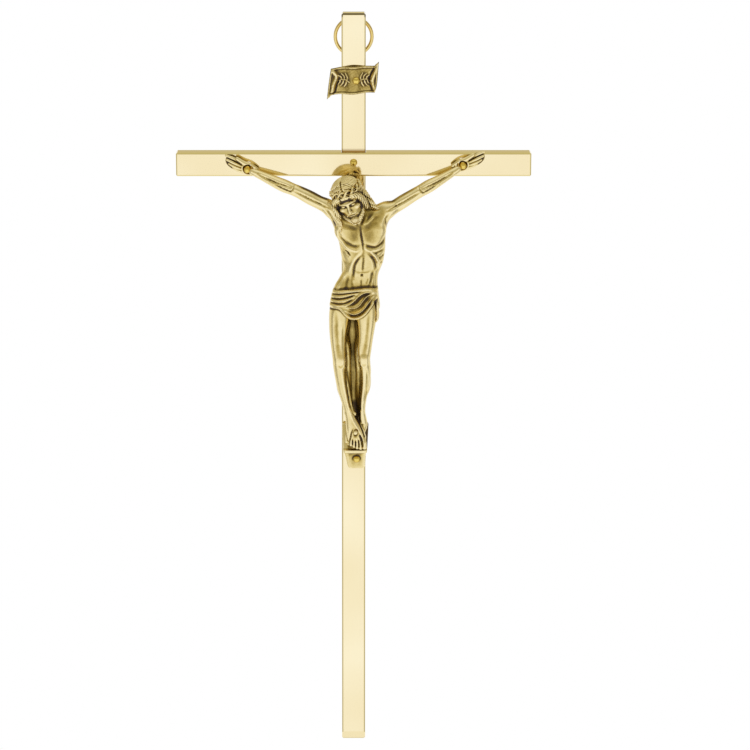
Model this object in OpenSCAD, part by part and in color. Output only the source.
// Wall crucifix in brass. Two hollow bars, each formed from sheet and open at the back, are
// riveted together where they cross. A cast figure with its foot support hangs in front of
// them on three rivets, a cast scroll plate is riveted on above, and a wire ring in a rolled
// strap behind the top hangs it on a wall.
// The front faces -Y and up is +Z. The origin is the middle of the ring's wire inside the
// strap, which is the point that the crucifix hangs and turns about.

/* [Cross] */
// Height of the upright bar, with its folded foot
cross_height = 255; // [220:1:320]
// Length of the crossbar
cross_span = 118; // [100:1:160]
// Width of both bars
bar_width = 8; // [7:0.5:10]
// Depth of the upright, from its front face to its open back
upright_depth = 4; // [3.5:0.1:6]
// Thickness of the sheet that both bars are formed from
sheet = 0.7; // [0.5:0.1:1]
// Outer radius of the folded edges
edge_radius = 0.6; // [0.3:0.1:0.8]
// Small cut across each corner at the ends of the bars
corner_cut = 0.5; // [0.3:0.1:1]
// Distance from the top of the upright down to the middle of the crossbar
crossing_drop = 50.3; // [46:0.1:70]
// Gap between the crossbar's notches and the sides of the upright
notch_gap = 0.1; // [0.05:0.05:0.3]
// Height of the crossing rivet above the middle of the crossbar
crossing_rivet_rise = 0.7; // [0:0.1:1.2]

/* [Figure] */
// Height of the figure, from the top of its head to the ledge under its feet
figure_height = 95; // [85:1:110]
// Distance between the nails in the two hands
hand_span = 71.5; // [62:0.5:84]
// Length of a hand, from the wrist to the longest fingertip
hand_length = 10.5; // [9:0.1:12]
// Thickness of the palm under the nail
palm_thickness = 1.9; // [1.4:0.1:2.4]
// Depth of the dish in each palm that the nail's head sits in
palm_dish = 0.4; // [0.2:0.1:0.6]
// How far the figure stands to the right of the upright's middle
figure_shift = 0.5; // [0:0.1:1]
// How far the left hand's nail is below the middle of the crossbar
left_nail_drop = 1.4; // [0.5:0.1:2]
// How far the right hand's nail is below the middle of the crossbar
right_nail_drop = 0.1; // [0:0.1:2]
// Thickness of the loincloth over the hips
cloth_thickness = 0.5; // [0.3:0.1:0.8]
// Width of the block behind the feet
block_width = 9; // [7.6:0.1:10]
// Thickness of the tongue that carries the lower rivet
tongue_thickness = 1.1; // [0.8:0.1:1.6]

/* [Scroll plate] */
// Width of the plate between its two corner tips
plate_width = 16.6; // [14:0.1:20]
// Height of the plate at its middle
plate_height = 9.2; // [7:0.1:11]
// Thickness of the plate
plate_thickness = 0.8; // [0.6:0.1:1.2]
// How far the middle of the plate bows forward off the upright
plate_bow = 1.8; // [1:0.1:2.5]
// Height of the plate's middle above the middle of the crossbar
plate_rise = 28.4; // [24:0.1:36]
// How far the plate's rivet is right of the upright's middle
plate_rivet_shift = 0.8; // [0:0.1:1.2]

/* [Rivets] */
// Diameter of the round heads
head_diameter = 2.5; // [2:0.1:3]
// Height of the round heads
head_height = 0.9; // [0.6:0.1:1.2]
// Diameter of the shanks
shank_diameter = 1.2; // [0.9:0.1:1.5]
// Gap all round a shank in its hole
shank_gap = 0.05; // [0.02:0.01:0.1]
// Diameter of the washers inside the bars
washer_diameter = 2.8; // [2.4:0.1:3.2]
// Thickness of the washers
washer_thickness = 0.4; // [0.3:0.1:0.6]
// Height of the peened tails
tail_height = 0.5; // [0.3:0.1:0.7]

/* [Hanger] */
// Outer diameter of the hanging ring
ring_diameter = 13.3; // [12:0.1:18]
// Diameter of the ring's wire
wire_diameter = 1.2; // [1:0.1:1.4]
// Gap between the wire and the bore of the rolled strap
bore_gap = 0.25; // [0.2:0.05:0.4]
// Thickness of the strap
strap_thickness = 0.6; // [0.5:0.1:0.8]
// Height of the strap's plate
strap_height = 4; // [3:0.5:7]
// Length of the rolled knuckle along the wire
knuckle_length = 2.6; // [2:0.1:3]
// Gap between the hanging ring and the strap's plate
ring_gap = 0.3; // [0.2:0.05:0.5]
// Distance from the top of the upright down to the ring's wire
hanger_drop = 2.4; // [2.2:0.1:12]

/* [Hidden] */

// Small gap where a cast piece lies on a bar
seat = 0.05;
// Length by which every cut runs past what it cuts
over = 1;
// Sides of a round piece
round_sides = 48;
// Sides of a lofted limb and of a lofted body
limb_sides = 14;
body_sides = 24;
hole_sides = 16;
cloth_sides = 36;

// Heights and depths of the bars, from the origin
top_z = hanger_drop;
bottom_z = top_z - cross_height;
crossing_z = top_z - crossing_drop;
rim_y = -(wire_diameter / 2 + ring_gap + strap_thickness);
front_y = rim_y - upright_depth;
crossbar_depth = upright_depth + sheet;

// Places of the rivets, as distances from the middle of the crossbar
left_nail_at = [figure_shift - hand_span / 2, -left_nail_drop];
right_nail_at = [figure_shift + hand_span / 2, -right_nail_drop];
foot_rivet_share = 1.07;
foot_rivet_at = [figure_shift * 2, -figure_height * foot_rivet_share];
plate_rivet_at = [plate_rivet_shift, plate_rise];
crossing_rivet_at = [0, crossing_rivet_rise];
palm_front = sheet + seat + palm_thickness;
nail_seat = palm_front - palm_dish;
plate_front = seat + plate_bow + plate_thickness;
tongue_front = seat + tongue_thickness;

// Lofting: rings of points, from low to high or from the start of a path to its end
function flat(rows) = [for (row = rows) for (p = row) p];
function unit(v) = v / norm(v);
function ring_ellipse(c, rx, ry, n) =
  [for (i = [0 : n - 1]) c + [rx * cos(360 * i / n), ry * sin(360 * i / n), 0]];
function ring_across(c, along, r, n) =
  let (u = unit(cross([0, 0, 1], along)), v = cross(along, u))
  [for (i = [0 : n - 1]) c + r * (cos(360 * i / n) * u + sin(360 * i / n) * v)];
function path_way(path, i) =
  unit(path[min(i + 1, len(path) - 1)] - path[max(i - 1, 0)]);

module loft(rings) {
  n = len(rings[0]);
  m = len(rings);
  sides = [for (k = [0 : m - 2]) for (i = [0 : n - 1])
    let (j = (i + 1) % n, a = k * n + i, b = k * n + j)
    each [[a, a + n, b + n], [a, b + n, b]]];
  foot = [for (i = [0 : n - 1]) i];
  head = [for (i = [n - 1 : -1 : 0]) (m - 1) * n + i];
  polyhedron(points = flat(rings), faces = concat(sides, [foot, head]), convexity = 6);
}

// A limb of round section along a path of [x, y, z, radius] shares of a size
module limb(size, shares) {
  path = [for (s = shares) size * [s[0], s[1], s[2]]];
  loft([for (i = [0 : len(path) - 1])
    ring_across(path[i], path_way(path, i), size * shares[i][3], limb_sides)]);
}

// A body of level ellipses, from [height, middle x, half width, middle y, half depth] shares
module trunk(size, shares, sides) {
  loft([for (s = shares)
    ring_ellipse(size * [s[1], s[3], s[0]], size * s[2], size * s[4], sides)]);
}

// An egg that is round about its own axes
module egg(size, middle, radii, turn = [0, 0, 0], sides = limb_sides) {
  translate(size * middle) rotate(turn) scale(size * radii) sphere(r = 1, $fn = sides);
}

// An egg from a row of shares: its middle, and then its radii
module egg_of(size, row, turn = [0, 0, 0], sides = limb_sides) {
  egg(size, [row[0], row[1], row[2]], [row[3], row[4], row[5]], turn, sides);
}

// A rod with round ends between two places
module rod(a, b, ra, rb, sides = 10) {
  hull() {
    translate(a) sphere(r = ra, $fn = sides);
    translate(b) sphere(r = rb, $fn = sides);
  }
}

// A round bar that runs along Y from a given depth
module bar_y(r, from_y, to_y, sides = round_sides) {
  translate([0, to_y, 0]) rotate([90, 0, 0]) cylinder(h = to_y - from_y, r = r, $fn = sides);
}

// Plan of a bar: square at the open back, with its two front corners folded round
module bar_plan(width, depth, radius) {
  translate([-width / 2, radius]) square([width, depth - radius]);
  translate([radius - width / 2, 0]) square([width - 2 * radius, depth]);
  for (side = [-1, 1])
    translate([side * (width / 2 - radius), radius]) circle(r = radius, $fn = round_sides);
}

// Face of a bar with its corners cut, from one end at 0 to the other at its length
module bar_face(width, length, cut) {
  half = width / 2;
  polygon([[-half, cut], [cut - half, 0], [half - cut, 0], [half, cut],
    [half, length - cut], [half - cut, length], [cut - half, length], [-half, length - cut]]);
}

// Side view of the upright from its foot: the foot folds back at 45 degrees, and the top
// folds square with a round edge
module upright_side(depth, length, radius) {
  polygon([[0, depth], [depth, 0], [depth, length], [radius, length], [radius, length - radius],
    [0, length - radius]]);
  translate([radius, length - radius]) circle(r = radius, $fn = round_sides);
}

// Side view of the crossbar, with both ends folded square and round
module crossbar_side(depth, length, radius) {
  translate([radius, 0]) square([depth - radius, length]);
  translate([0, radius]) square([depth, length - 2 * radius]);
  for (z = [radius, length - radius])
    translate([radius, z]) circle(r = radius, $fn = round_sides);
}

// A bar's outer form is where its plan, its face and its side view meet
module upright_form(inset) {
  width = bar_width - 2 * inset;
  depth = upright_depth - inset;
  radius = max(edge_radius - inset, edge_radius / 4);
  fold = inset * (sqrt(2) - 1);
  length = cross_height - inset - fold;
  translate([0, 0, fold]) intersection() {
    translate([0, inset, 0]) linear_extrude(height = length) bar_plan(width, depth, radius);
    translate([0, upright_depth, 0]) rotate([90, 0, 0])
      linear_extrude(height = upright_depth) bar_face(width, length, corner_cut);
    translate([-width / 2, inset, 0]) rotate([90, 0, 90])
      linear_extrude(height = width) upright_side(depth, length, radius);
  }
}

module crossbar_form(inset) {
  width = bar_width - 2 * inset;
  depth = crossbar_depth - inset;
  radius = max(edge_radius - inset, edge_radius / 4);
  length = cross_span - 2 * inset;
  translate([0, 0, inset]) intersection() {
    translate([0, inset, 0]) linear_extrude(height = length) bar_plan(width, depth, radius);
    translate([0, crossbar_depth, 0]) rotate([90, 0, 0])
      linear_extrude(height = crossbar_depth) bar_face(width, length, corner_cut);
    translate([-width / 2, inset, 0]) rotate([90, 0, 90])
      linear_extrude(height = width) crossbar_side(depth, length, radius);
  }
}

// Hole for a rivet through the front of a bar
module shank_hole(at, from_y, to_y) {
  translate([at[0], 0, crossing_z + at[1]])
    bar_y(shank_diameter / 2 + shank_gap, from_y, to_y);
}

module upright() {
  color("khaki") difference() {
    translate([0, front_y, bottom_z]) upright_form(0);
    translate([0, front_y, bottom_z]) upright_form(sheet);
    for (at = [crossing_rivet_at, foot_rivet_at, plate_rivet_at])
      shank_hole(at, front_y - over, front_y + sheet + over);
  }
}

module crossbar() {
  color("khaki") difference() {
    translate([-cross_span / 2, front_y - sheet, crossing_z]) rotate([0, 90, 0])
      crossbar_form(0);
    translate([-cross_span / 2, front_y - sheet, crossing_z]) rotate([0, 90, 0])
      crossbar_form(sheet);
    notch_half = bar_width / 2 + notch_gap;
    translate([-notch_half, front_y, crossing_z - bar_width / 2 - over])
      cube([2 * notch_half, upright_depth + over, bar_width + 2 * over]);
    for (at = [crossing_rivet_at, left_nail_at, right_nail_at])
      shank_hole(at, front_y - sheet - over, front_y + over);
  }
}

// Shares of the figure's height. Heights count down from the middle of the crossbar, depths
// forward from the front of the upright, and sideways places from the figure's own middle.
trunk_shares = [
  [-0.552, -0.004, 0.074, -0.074, 0.042], [-0.495, 0, 0.084, -0.070, 0.047],
  [-0.442, 0.001, 0.078, -0.067, 0.045], [-0.400, 0.010, 0.069, -0.065, 0.040],
  [-0.358, 0.023, 0.065, -0.069, 0.040], [-0.308, 0.027, 0.075, -0.077, 0.046],
  [-0.261, 0.025, 0.081, -0.082, 0.050], [-0.215, 0.021, 0.086, -0.082, 0.050],
  [-0.183, 0.017, 0.092, -0.079, 0.046], [-0.152, 0.015, 0.086, -0.076, 0.038],
  [-0.128, 0.010, 0.050, -0.078, 0.032], [-0.112, 0.004, 0.034, -0.084, 0.030]];
left_leg_shares = [
  [-1.012, 0.021, 0.013, -0.072, 0.013], [-0.985, 0.014, 0.019, -0.074, 0.019],
  [-0.950, 0.003, 0.020, -0.078, 0.020], [-0.915, -0.009, 0.018, -0.077, 0.018],
  [-0.889, -0.018, 0.0175, -0.074, 0.018],
  [-0.857, -0.027, 0.018, -0.072, 0.018], [-0.806, -0.038, 0.021, -0.076, 0.022],
  [-0.771, -0.044, 0.023, -0.083, 0.025], [-0.726, -0.052, 0.023, -0.095, 0.026],
  [-0.698, -0.054, 0.024, -0.102, 0.026], [-0.676, -0.055, 0.0245, -0.104, 0.026],
  [-0.644, -0.058, 0.026, -0.099, 0.028], [-0.596, -0.060, 0.030, -0.089, 0.033],
  [-0.555, -0.056, 0.035, -0.080, 0.037], [-0.515, -0.053, 0.038, -0.073, 0.040],
  [-0.463, -0.047, 0.041, -0.070, 0.042]];
right_leg_shares = [
  [-1.009, -0.016, 0.012, -0.058, 0.018], [-0.986, -0.009, 0.018, -0.057, 0.023],
  [-0.951, 0.006, 0.017, -0.052, 0.028], [-0.916, 0.019, 0.014, -0.048, 0.030],
  [-0.889, 0.025, 0.012, -0.053, 0.015],
  [-0.857, 0.027, 0.012, -0.059, 0.016], [-0.806, 0.031, 0.0145, -0.067, 0.020],
  [-0.771, 0.034, 0.017, -0.075, 0.023], [-0.726, 0.035, 0.020, -0.088, 0.025],
  [-0.698, 0.033, 0.021, -0.095, 0.026], [-0.676, 0.031, 0.0225, -0.098, 0.026],
  [-0.644, 0.031, 0.026, -0.095, 0.028], [-0.596, 0.037, 0.029, -0.087, 0.032],
  [-0.555, 0.038, 0.034, -0.080, 0.036], [-0.515, 0.039, 0.038, -0.073, 0.040],
  [-0.463, 0.040, 0.041, -0.070, 0.042]];

// Each arm runs from the shoulder to the wrist: rows of [out, depth, height, radius]. The first
// places follow the body, and the last ones the nail in the hand.
arm_root_share = 0.016;
shoulder_shares = [[0.040, -0.079, -0.165, 0.030], [0.082, -0.079, -0.150, 0.033],
  [0.140, -0.073, -0.124, 0.0245], [0.186, -0.067, -0.100, 0.0215]];
elbow_shares = [0.58, -0.062, -0.086];
forearm_step_shares = [0, 0.3, 0.7, 1];
forearm_radius_shares = [0.0210, 0.0210, 0.0155, 0.0125];
// Shares of the hand's length for the wrist and the heel of the palm, in from the nail and down
wrist_shares = [0.34, 0.13];
heel_share = 0.1;

// One arm on a side, -1 left and 1 right, to the nail at x and z
module arm(side, nail) {
  base = [for (s = shoulder_shares)
    figure_height * [side * s[0] + arm_root_share, s[1], s[2]]];
  elbow = [nail[0] * elbow_shares[0], figure_height * elbow_shares[1],
    figure_height * elbow_shares[2]];
  wrist = [nail[0] - side * hand_length * wrist_shares[0], -palm_front - palm_thickness / 3,
    nail[1] - hand_length * wrist_shares[1]];
  fore = [for (t = forearm_step_shares) elbow + (wrist - elbow) * t];
  heel = [nail[0] - side * hand_length * heel_share, palm_thickness / 2 - palm_front, nail[1]];
  path = concat(base, fore, [heel]);
  radii = concat([for (s = shoulder_shares) figure_height * s[3]],
    [for (s = forearm_radius_shares) figure_height * s], [palm_thickness / 2]);
  loft([for (i = [0 : len(path) - 1])
    ring_across(path[i], path_way(path, i), radii[i], limb_sides)]);
}

// Shares of the hand's length: half sizes of the palm, places of each fingertip and root out
// from the nail and up, the thumb's two ends, and the radius of a finger
palm_shares = [0.30, 0.19];
palm_turn = 24;
finger_tip_shares = [[0.66, 0.47], [0.60, 0.29], [0.49, 0.12], [0.30, -0.05]];
finger_root_shares = [[0.20, 0.17], [0.21, 0.08], [0.19, -0.01], [0.13, -0.09]];
finger_root_step = 0.2;
finger_tip_step = 0.14;
thumb_shares = [[-0.12, 0.16], [0.12, 0.30]];
finger_radius_share = 0.052;
root_growth = 1.1;

module hand(side, nail) {
  back = -sheet - seat;
  middle = back - palm_thickness / 2;
  r = hand_length * finger_radius_share;
  translate([nail[0], middle, nail[1]]) rotate([0, -side * palm_turn, 0])
    scale([hand_length * palm_shares[0], palm_thickness / 2, hand_length * palm_shares[1]])
    sphere(r = 1, $fn = limb_sides);
  for (i = [0 : len(finger_tip_shares) - 1]) {
    root = hand_length * finger_root_shares[i];
    tip = hand_length * finger_tip_shares[i];
    rod([nail[0] + side * root[0], middle - r * i * finger_root_step, nail[1] + root[1]],
      [nail[0] + side * tip[0], back - (2 + i * finger_tip_step) * r, nail[1] + tip[1]],
      r * root_growth, r);
  }
  thumb = hand_length * thumb_shares;
  rod([nail[0] + side * thumb[0][0], middle, nail[1] + thumb[0][1]],
    [nail[0] + side * thumb[1][0], middle - r, nail[1] + thumb[1][1]], r * root_growth, r);
}

// The nail's shank goes through the palm, and its head sits in a round dish
module palm_pocket(nail) {
  deep = palm_front + palm_thickness + over;
  translate([nail[0], 0, nail[1]]) {
    bar_y(shank_diameter / 2 + shank_gap, -deep, over, hole_sides);
    bar_y(head_diameter / 2 + 2 * shank_gap, -deep, seat - nail_seat, hole_sides);
  }
}

// Shares of the figure's height for the head, which leans to the left and bows forward
head_turn = [18, -14, 0];
skull_shares = [-0.012, -0.106, -0.092, 0.060, 0.064, 0.064];
face_shares = [0.007, -0.132, -0.135, 0.034, 0.031, 0.046];
beard_shares = [0.014, -0.132, -0.163, 0.021, 0.023, 0.020];
nose_shares = [0.010, -0.166, -0.139, 0.006, 0.010, 0.014];
left_lock_shares = [[-0.050, -0.116, -0.090, 0.020], [-0.062, -0.114, -0.130, 0.017],
  [-0.052, -0.112, -0.170, 0.015], [-0.046, -0.106, -0.208, 0.007]];
right_lock_shares = [[0.026, -0.104, -0.070, 0.022], [0.044, -0.102, -0.098, 0.021],
  [0.058, -0.098, -0.128, 0.018], [0.066, -0.098, -0.152, 0.008]];

module head() {
  egg_of(figure_height, skull_shares, head_turn, body_sides);
  egg_of(figure_height, face_shares, head_turn);
  egg_of(figure_height, beard_shares, head_turn);
  egg_of(figure_height, nose_shares, head_turn);
  limb(figure_height, left_lock_shares);
  limb(figure_height, right_lock_shares);
  crown();
}

// A crown of two stems that lean across each other, with short thorns
crown_place_shares = [-0.010, -0.112, -0.088];
crown_turn = [26, -26, 0];
crown_radius_share = 0.063;
crown_stem_share = 0.009;
crown_lean = 7;
crown_sides = 28;
stem_sides = 6;
thorns = 8;
// Shares of the stem's radius for a thorn's root, tip and length
thorn_shares = [0.7, 0.3, 2];
thorn_offset_share = 0.3;

module crown() {
  ring = figure_height * crown_radius_share;
  stem = figure_height * crown_stem_share;
  translate(figure_height * crown_place_shares) rotate(crown_turn) {
    for (lean = [-crown_lean, crown_lean])
      rotate([lean, lean, 0]) rotate_extrude($fn = crown_sides)
        translate([ring, 0]) circle(r = stem, $fn = stem_sides);
    for (k = [0 : thorns - 1])
      rotate([0, 0, 360 * (k + thorn_offset_share) / thorns])
        rod([ring, 0, 0], [ring + stem * thorn_shares[2], 0, stem * (k % 2 == 0 ? 1 : -1)],
          stem * thorn_shares[0], stem * thorn_shares[1], stem_sides);
  }
}

// The loincloth hangs from its upper edge to its hem, and its folds run down to the right.
// Angles count from the right round the back; 270 is the front. Shares of the figure's height:
// heights of the hem, its dip in front and its rise at the right, and of the waist.
hem_shares = [-0.507, -0.036, 0.030];
hem_angles = [262, 345];
waist_shares = [-0.437, 0.006];
waist_angle = 330;
// Half width and half depth of the cloth at the hem, how much less they are at the waist,
// and its middle
cloth_shares = [0.0845, 0.054];
cloth_taper_shares = [0.004, 0.005];
cloth_middle_shares = [0.001, -0.070];
// Depth of the folds as a share of the cloth's thickness, and how many run down and round
fold_depth_share = 0.55;
folds_down = 3.2;
folds_round = 1.1;
cloth_steps = 9;
// The hanging end at the right hip: eggs from the knot down to the tip
cloth_end_shares = [[0.076, -0.096, -0.458, 0.010, 0.014, 0.012],
  [0.078, -0.082, -0.500, 0.009, 0.012, 0.012], [0.076, -0.080, -0.545, 0.005, 0.010, 0.006]];

function hem_share(a) = hem_shares[0] + hem_shares[1] * pow(max(0, cos(a - hem_angles[0])), 3)
  + hem_shares[2] * pow(max(0, cos(a - hem_angles[1])), 2);
function waist_share(a) = waist_shares[0] + waist_shares[1] * cos(a - waist_angle);
function cloth_fold(a, t) = cloth_thickness
  * (1 + fold_depth_share * sin(360 * (folds_down * t + folds_round * (a - 180) / 180)));

module loincloth() {
  middle = figure_height * cloth_middle_shares;
  loft([for (k = [0 : cloth_steps])
    let (t = k / cloth_steps, half = figure_height * (cloth_shares - t * cloth_taper_shares))
    [for (i = [0 : cloth_sides - 1])
      let (a = 360 * i / cloth_sides, z = hem_share(a) * (1 - t) + waist_share(a) * t,
        fold = cloth_fold(a, t))
      [(half[0] + fold) * cos(a) + middle[0], (half[1] + fold) * sin(a) + middle[1],
        figure_height * z]]]);
  for (i = [0 : len(cloth_end_shares) - 2])
    hull() {
      egg_of(figure_height, cloth_end_shares[i], sides = hole_sides);
      egg_of(figure_height, cloth_end_shares[i + 1], sides = hole_sides);
    }
}

// The block slopes forward from a thin top to the ledge, and the tongue goes down below it.
// Shares of the figure's height: how far down each is, and how far forward.
block_top_share = 0.936;
ledge_share = 1.022;
tongue_end_share = 1.105;
block_depth_share = 0.047;
ledge_depth_share = 0.062;
lip_share = 0.008;
// How far the slope under the ledge and the tongue's round corners reach, in lips
slope_lips = 2.5;
corner_lips = 3;

module foot_block() {
  half = block_width / 2;
  lip = figure_height * lip_share;
  ledge = -figure_height * ledge_share;
  tongue_x = foot_rivet_at[0] - figure_shift;
  hull() {
    translate([-half, -seat - tongue_thickness, -figure_height * block_top_share])
      cube([block_width, tongue_thickness, lip]);
    translate([-half, -figure_height * block_depth_share, ledge])
      cube([block_width, figure_height * block_depth_share - seat, lip]);
  }
  hull() {
    translate([-half, -figure_height * ledge_depth_share, ledge - lip])
      cube([block_width, figure_height * ledge_depth_share - seat, lip]);
    translate([tongue_x + 2 * lip - half, -seat - tongue_thickness, ledge - slope_lips * lip])
      cube([block_width - 3 * lip, tongue_thickness, lip]);
  }
  difference() {
    hull() {
      translate([tongue_x + 2 * lip - half, -seat - tongue_thickness, ledge - lip])
        cube([block_width - 3 * lip, tongue_thickness, lip]);
      for (side = [-1, 1])
        translate([tongue_x + side * (half - corner_lips * lip), 0,
            lip - figure_height * tongue_end_share])
          bar_y(lip, -seat - tongue_thickness, -seat);
    }
    translate([tongue_x, 0, foot_rivet_at[1]])
      bar_y(shank_diameter / 2 + shank_gap, -tongue_front - over, over, hole_sides);
  }
}

// The nail through the crossed feet and the toes are cast with the figure. Rows of shares: the
// root of the first toe of each foot, its tip, the step to the next toe, and the two radii.
toes = 4;
left_toe_shares = [[0.006, -0.080, -0.992], [0.008, -0.074, -1.014], [0.010, 0, 0]];
left_toe_radius_shares = [0.0065, 0.006];
right_toe_shares = [[-0.030, -0.062, -0.990], [-0.030, -0.062, -1.012], [0.009, 0, 0]];
right_toe_radius_shares = [0.006, 0.0055];
cast_nail_shares = [[0.0035, -0.086, -0.9465], [0.004, -0.104, -0.949]];
cast_nail_radius_shares = [0.008, 0.010];

module toe_row(shares, radii) {
  for (k = [0 : toes - 1])
    rod(figure_height * (shares[0] + k * shares[2]), figure_height * (shares[1] + k * shares[2]),
      figure_height * radii[0], figure_height * radii[1]);
}

module foot_details() {
  toe_row(left_toe_shares, left_toe_radius_shares);
  toe_row(right_toe_shares, right_toe_radius_shares);
  rod(figure_height * cast_nail_shares[0], figure_height * cast_nail_shares[1],
    figure_height * cast_nail_radius_shares[0], figure_height * cast_nail_radius_shares[1], 12);
}

// Breasts, ribs, belly and knees stand out of the body, each pair first left and then right
breast_shares = [[-0.019, -0.106, -0.214, 0.040, 0.026, 0.034],
  [0.061, -0.106, -0.214, 0.040, 0.026, 0.034]];
rib_shares = [[-0.011, -0.098, -0.276, 0.032, 0.026, 0.040],
  [0.061, -0.098, -0.276, 0.032, 0.026, 0.040]];
rib_turn = 12;
belly_shares = [[0.002, -0.088, -0.350, 0.018, 0.022, 0.050],
  [0.034, -0.088, -0.350, 0.018, 0.022, 0.050]];
knee_shares = [[-0.054, -0.118, -0.688, 0.018, 0.014, 0.022],
  [0.032, -0.112, -0.684, 0.017, 0.014, 0.021]];

module body_relief() {
  for (i = [0, 1]) {
    egg_of(figure_height, breast_shares[i]);
    egg_of(figure_height, rib_shares[i], [0, (2 * i - 1) * rib_turn, 0]);
    egg_of(figure_height, belly_shares[i]);
    egg_of(figure_height, knee_shares[i]);
  }
}

module corpus() {
  left_nail = [-hand_span / 2, -left_nail_drop];
  right_nail = [hand_span / 2, -right_nail_drop];
  color("darkkhaki") translate([figure_shift, front_y, crossing_z]) union() {
    difference() {
      union() {
        trunk(figure_height, trunk_shares, body_sides);
        arm(-1, left_nail);
        arm(1, right_nail);
        hand(-1, left_nail);
        hand(1, right_nail);
      }
      palm_pocket(left_nail);
      palm_pocket(right_nail);
    }
    trunk(figure_height, left_leg_shares, limb_sides);
    trunk(figure_height, right_leg_shares, limb_sides);
    body_relief();
    head();
    loincloth();
    foot_block();
    foot_details();
  }
}

// The scroll plate is a sheet with a wave across it: its middle bows forward over the
// upright, it comes back to the bar's two edges, and its folded ends turn forward again.
// Its lower left and upper right corners run out to tips.
plate_columns = 28;
// Shares of the plate: how wide the sheet is between the tips, how wide each end's fold is,
// and how far the ends turn forward again
sheet_share = 0.94;
fold_share = 0.16;
end_bow_share = 0.7;
// Shares of the height: the lower edge, its tip and its slope, and the same for the upper edge
low_shares = [0.5, 0.17, 0.07];
high_shares = [0.46, 0.17, 0.04];
lean_share = 0.06;
// The folded end's two outer corners and its inner one, as shares of the width and height
fold_low_shares = [0.44, -0.30];
fold_near_shares = [0.36, -0.10];
fold_high_shares = [0.44, 0.40];

function plate_wave(x) =
  let (edge = bar_width / 2 - edge_radius, far = plate_width / 2)
  abs(x) < edge ? plate_bow * (1 + cos(180 * x / edge)) / 2
    : plate_bow * end_bow_share * (1 - cos(180 * (abs(x) - edge) / (far - edge))) / 2;
function plate_low(u) = -plate_height * (low_shares[0]
  + low_shares[1] * pow(max(0, 1 - u / fold_share), 2) - low_shares[2] * u);
function plate_high(u) = plate_height * (high_shares[0]
  + high_shares[1] * pow(max(0, 1 - (1 - u) / fold_share), 2) + high_shares[2] * u);
function plate_lean(v) = plate_height * lean_share * (2 * v - 1);

module plate_sheet() {
  loft([for (k = [0 : plate_columns])
    let (u = k / plate_columns, x = plate_width * sheet_share * (u - 0.5),
      near = -seat - plate_wave(x), far = near - plate_thickness,
      low = plate_low(u), high = plate_high(u))
    [[x + plate_lean(0), near, low], [x + plate_lean(1), near, high],
      [x + plate_lean(1), far, high], [x + plate_lean(0), far, low]]]);
}

// The folded end is a thin second layer over the plate's end
module plate_fold(side) {
  hull() for (s = [fold_low_shares, fold_near_shares, fold_high_shares]) {
    x = side * plate_width * s[0];
    translate([x, -seat - plate_wave(x) - plate_thickness, side * plate_height * s[1]])
      sphere(r = plate_thickness / 2, $fn = limb_sides);
  }
}

module scroll_plate() {
  color("darkkhaki") difference() {
    translate([0, front_y, crossing_z + plate_rise]) union() {
      plate_sheet();
      plate_fold(-1);
      plate_fold(1);
    }
    shank_hole(plate_rivet_at, front_y - plate_front - over, front_y + over);
  }
}

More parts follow.
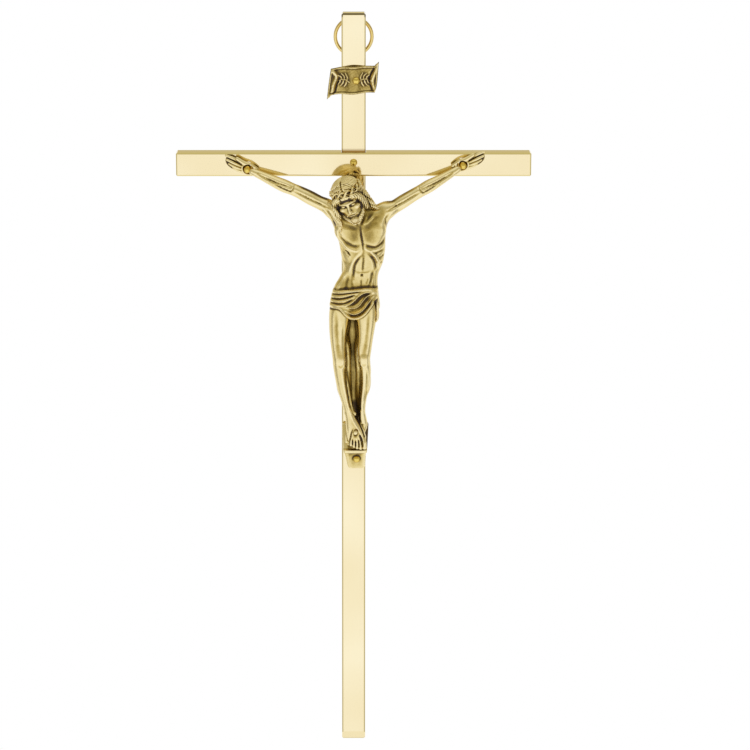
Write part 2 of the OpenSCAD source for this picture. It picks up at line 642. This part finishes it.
// A rivet: a round head in front, a shank, and a tail peened over the washer
module rivet(at, head_y, back_y) {
  head_r = head_diameter / 2;
  shank_r = shank_diameter / 2;
  dome = (head_r * head_r + head_height * head_height) / (2 * head_height);
  tail_y = back_y + washer_thickness;
  color("gold") translate([at[0], 0, crossing_z + at[1]]) {
    translate([0, head_y, 0]) rotate([90, 0, 0]) intersection() {
      translate([0, 0, head_height - dome]) sphere(r = dome, $fn = round_sides);
      cylinder(h = head_height, r = head_r, $fn = round_sides);
    }
    bar_y(shank_r, head_y - head_height / 4, tail_y);
    translate([0, tail_y + tail_height, 0]) rotate([90, 0, 0])
      cylinder(h = tail_height, r1 = shank_r, r2 = shank_r * 1.5, $fn = round_sides);
  }
}

module left_hand_nail() {
  rivet(left_nail_at, front_y - nail_seat, front_y);
}

module right_hand_nail() {
  rivet(right_nail_at, front_y - nail_seat, front_y);
}

module foot_rivet() {
  rivet(foot_rivet_at, front_y - tongue_front, front_y + sheet);
}

module plate_rivet() {
  rivet(plate_rivet_at, front_y - plate_front, front_y + sheet);
}

module crossing_rivet() {
  rivet(crossing_rivet_at, front_y - sheet, front_y + sheet);
}

module washer(at, back_y) {
  translate([at[0], 0, crossing_z + at[1]]) difference() {
    bar_y(washer_diameter / 2, back_y, back_y + washer_thickness);
    bar_y(shank_diameter / 2 + shank_gap, back_y - over, back_y + washer_thickness + over);
  }
}

module washers() {
  color("goldenrod") {
    for (at = [left_nail_at, right_nail_at]) washer(at, front_y);
    for (at = [crossing_rivet_at, foot_rivet_at, plate_rivet_at]) washer(at, front_y + sheet);
  }
}

// The strap lies across the two back edges of the upright, with a knuckle rolled in its
// middle round the ring's wire
module hanger_strap() {
  bore = wire_diameter / 2 + bore_gap;
  strap_width = bar_width - sheet / 2;
  color("goldenrod") difference() {
    union() {
      translate([-strap_width / 2, rim_y, -strap_height / 2])
        cube([strap_width, strap_thickness, strap_height]);
      translate([-knuckle_length / 2, 0, 0]) rotate([0, 90, 0])
        cylinder(h = knuckle_length, r = bore + strap_thickness, $fn = round_sides);
    }
    translate([-knuckle_length / 2 - over, 0, 0]) rotate([0, 90, 0])
      cylinder(h = knuckle_length + 2 * over, r = bore, $fn = round_sides);
  }
}

module hanging_ring() {
  turn_r = (ring_diameter - wire_diameter) / 2;
  color("gold") translate([0, 0, -turn_r]) rotate([90, 0, 0])
    rotate_extrude($fn = round_sides) translate([turn_r, 0])
      circle(r = wire_diameter / 2, $fn = round_sides);
}

upright();
crossbar();
corpus();
scroll_plate();
left_hand_nail();
right_hand_nail();
foot_rivet();
plate_rivet();
crossing_rivet();
washers();
hanger_strap();
hanging_ring();
